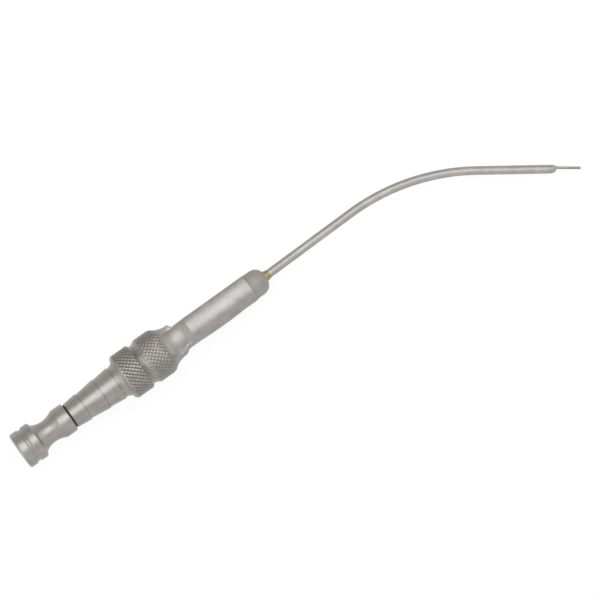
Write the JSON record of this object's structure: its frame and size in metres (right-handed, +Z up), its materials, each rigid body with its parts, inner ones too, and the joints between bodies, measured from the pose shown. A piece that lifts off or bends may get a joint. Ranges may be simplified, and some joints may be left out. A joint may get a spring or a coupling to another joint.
{
  "type": "suction tube",
  "caption": "Curved metal suction tube with a knurled finger-grip handle, thumb vent, barbed hose connector and a cleaning stylet whose wire shows at the tip.",
  "frame": {"origin": "centre of the bounding box in plan, on the surface the instrument lies on", "axes": "+Z up, +X along the handle's axis towards the tip; the tube bends towards -Y and down to the surface"},
  "size_m": [0.212, 0.04, 0.017],
  "materials": {
    "handle_steel": "satin stainless steel, diamond knurled collars",
    "tube_steel": "drawn stainless steel tube, satin",
    "braze": "gold-coloured braze",
    "seal": "black rubber",
    "knob_steel": "satin stainless steel",
    "wire_steel": "drawn stainless spring wire"
  },
  "bodies": {
    "root": {"handle": "handle_steel", "tube": "tube_steel", "braze_ring": "braze", "seal_ring": "seal", "stylet_knob": "knob_steel", "stylet_wire": "wire_steel"}
  },
  "joints": []
}
